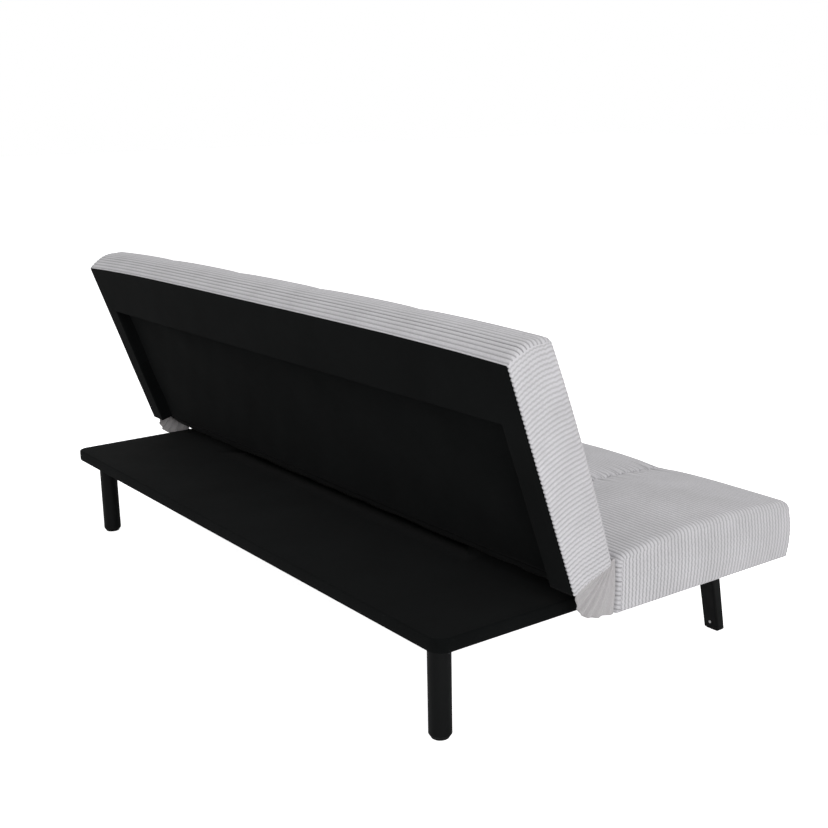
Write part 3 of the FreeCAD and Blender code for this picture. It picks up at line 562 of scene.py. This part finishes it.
def rear_cloth():
    """Black cloth over the raised rim and down into the sunk panel of the back."""
    edge, stile, band, deep = 0.8972, 0.8345, 0.3530, 0.0292
    xs = stops((-edge, -edge + 0.004, 9), (-edge, -stile - 0.01, 8), (-stile - 0.01, -stile + 0.01, 13),
               (-stile, stile, 140), (stile - 0.01, stile + 0.01, 13), (stile + 0.01, edge, 8),
               (edge - 0.004, edge, 9))
    hs = stops((0.003, band, 60), (band - 0.012, band + 0.012, 15), (band, 0.4805, 22),
               (0.4805, 0.4838, 9))
    x, h = np.meshgrid(xs, hs)
    sunk = (1 - step_up(np.abs(x), stile, 0.006)) * (1 - step_up(h, band, 0.011))
    wrinkle = 0.0008 * np.sin(x * 23 + 3 * np.sin(h * 11)) + 0.0005 * np.sin(x * 61 + h * 40)
    pull = 0.0012 * np.sin(h * 30 + 2 * np.sin(x * 4)) * sunk
    t = 0.0005 + deep * sunk + (wrinkle * 0.6 + pull) * (0.3 + 0.7 * sunk)
    rim = np.clip((0.0025 - (edge - np.abs(x))) / 0.0025, 0, 1)
    top = np.clip((h - 0.4815) / 0.0023, 0, 1)
    t = t + 0.004 * (rim**3) * (1 - sunk) + 0.004 * top**3
    h = h + bow_of(x, h)
    c, s = math.cos(BACK_TILT), math.sin(BACK_TILT)
    points = np.stack([x, BACK_FOOT.y - t * c + h * s, BACK_FOOT.z + t * s + h * c], -1)
    item = grid_object("rear_cloth", points, "black_cloth", 0.0012)
    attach(item, "backrest")
    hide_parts("back_rear_cloth")


def deck_cloth():
    """Black cloth wrapped tight round the deck, soft at its edges and rear corners."""
    low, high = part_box("deck_cover")
    low, high = low - Vector((0.0015,) * 3), high + Vector((0.0015,) * 3)
    corner, roll = 0.0262, 0.0035
    plan = []
    for k in range(13):
        a = math.pi / 2 * k / 12
        plan.append((high.x - corner + corner * math.cos(a), high.y - corner + corner * math.sin(a)))
    side = [(high.x, y) for y in np.linspace(low.y, high.y - corner, 24)[:-1]]
    rear = [(x, high.y) for x in np.linspace(high.x - corner, -high.x + corner, 90)[1:-1]]
    half = side + plan
    loop = half + rear + [(-x, y) for x, y in reversed(half)]
    rings = []
    middle = (low.z + high.z) / 2
    for k in range(17):
        a = math.pi * (k / 16 - 0.5)
        tall = (high.z - low.z) / 2
        z = middle + np.sign(math.sin(a)) * (tall - roll) + roll * math.sin(a)
        cut = roll * (1 - math.cos(a))
        rings.append((cut, z))
    inner = [(0.03, high.z), (0.09, high.z), (0.17, high.z), (0.28, high.z), (0.36, high.z)]
    rings = [(c, low.z) for c, _ in reversed(inner)] + rings + inner
    points = []
    for cut, z in rings:
        row = []
        for x, y in loop:
            px = math.copysign(max(abs(x) - cut * (abs(x) / high.x), 0.0), x)
            py = y - cut * (y - low.y) / (high.y - low.y)
            wave = 0.0006 * math.sin(px * 17 + 2 * math.sin(py * 13)) * min(1, cut / 0.05)
            row.append((px, py, z - abs(wave) * (1 if z > middle else -1)))
        points.append(row)
    item = grid_object("deck_cloth", np.array(points), "black_cloth", 0.0012)
    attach(item, "base")
    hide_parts("deck_cover")


def gussets():
    """Pleated cloth that closes each end of the fold."""
    for name, way in (("left", -1), ("right", 1)):
        fan = []
        for u in np.linspace(0, 1, 61):
            rim = np.array([0.070 + 0.097 * u + 0.030 * np.sin(np.pi * u),
                            0.206 + 0.071 * u - 0.020 * np.sin(np.pi * u)])
            head = np.array([0.0675 + 0.012 * u, 0.318 - 0.006 * u])
            row = []
            for v in np.linspace(0, 1, 33):
                y, z = head + (rim - head) * v
                fold = (1 - 0.8 * u**4) * np.sin(u * 2 * np.pi * 5.5 + 0.8 * np.sin(3 * v))
                x = 0.8915 + 0.0045 * fold * v**0.7 + 0.0025 * np.sin(np.pi * v)
                row.append((way * x, y + 0.0015 * fold * v, z + 0.0008 * fold * v))
            fan.append(row)
        item = grid_object("gusset_" + name, np.array(fan), "corduroy_lining", 0.0014)
        attribute = item.data.attributes.new("rib", "FLOAT", "POINT")
        attribute.data.foreach_set("value", np.full(len(item.data.vertices), 0.8, np.float32))
        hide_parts("fold_gusset_" + name)
        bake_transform(item)


def flap():
    """Black dust cloth from the back's lower edge down to the deck."""
    rows = []
    for v in np.linspace(0, 1, 25):
        y = 0.151 + (0.070 - 0.151) * v
        z = 0.2810 + (0.2330 - 0.2810) * min(1, v / 0.75) ** 0.8
        row = []
        for x in np.linspace(-0.846, 0.846, 180):
            hang = math.sin(math.pi * v)
            wave = 0.0016 * math.sin(x * 38 + 2 * math.sin(x * 9)) * hang
            row.append((x, y, z - 0.004 * hang * (1 - v) + wave))
        rows.append(row)
    item = grid_object("flap", np.array(rows), "black_cloth", 0.0012)
    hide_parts("fold_flap")
    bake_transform(item)


# Surroundings

def surroundings():
    """Pale floor, white surroundings and soft light."""
    mesh = bpy.data.meshes.new("floor")
    mesh.from_pydata([(-30, -30, 0), (30, -30, 0), (30, 30, 0), (-30, 30, 0)], [], [(0, 1, 2, 3)])
    floor = bpy.data.objects.new("floor", mesh)
    scene.collection.objects.link(floor)
    material, tree, shader = new_material("floor", (0.93, 0.93, 0.93), 0.8, specular=0.1)
    shader.inputs["Emission Color"].default_value = (1, 1, 1, 1)
    path = tree.nodes.new("ShaderNodeLightPath")
    glow = tree.nodes.new("ShaderNodeMath")
    glow.operation = "MULTIPLY"
    glow.inputs[1].default_value = FLOOR_GLOW
    tree.links.new(path.outputs["Is Camera Ray"], glow.inputs[0])
    tree.links.new(glow.outputs[0], shader.inputs["Emission Strength"])
    mesh.materials.append(material)

    world = bpy.data.worlds.new("studio")
    scene.world = world
    world.use_nodes = True
    tree = world.node_tree
    back = tree.nodes["Background"]
    rays = tree.nodes.new("ShaderNodeLightPath")
    seen = tree.nodes.new("ShaderNodeMath")
    seen.operation = "MAXIMUM"
    tree.links.new(rays.outputs["Is Camera Ray"], seen.inputs[0])
    tree.links.new(rays.outputs["Is Glossy Ray"], seen.inputs[1])
    level = tree.nodes.new("ShaderNodeMapRange")
    level.inputs["To Min"].default_value = WORLD_LIGHT
    level.inputs["To Max"].default_value = 1.0
    tree.links.new(seen.outputs[0], level.inputs["Value"])
    tree.links.new(level.outputs["Result"], back.inputs["Strength"])
    back.inputs["Color"].default_value = (1, 1, 1, 1)

    for name, at, size, power in LAMPS:
        data = bpy.data.lights.new(name, "AREA")
        data.shape = "DISK"
        data.size = size
        data.energy = power
        lamp = bpy.data.objects.new(name, data)
        scene.collection.objects.link(lamp)
        lamp.location = at
        lamp.rotation_euler = (Vector((0, 0, 0.4)) - Vector(at)).to_track_quat("-Z", "Y").to_euler()


camera()
dress_nodes()
cushion("seat_cover_soft", profile_seat, 2, 0.011, ["seat_cover", "seat_foam"], "base")
cushion("back_cover_soft", profile_back, 3, 0.007, ["back_cover", "back_foam"], "backrest")
rear_cloth()
deck_cloth()
gussets()
flap()
surroundings()
scene.view_settings.view_transform = "Standard"
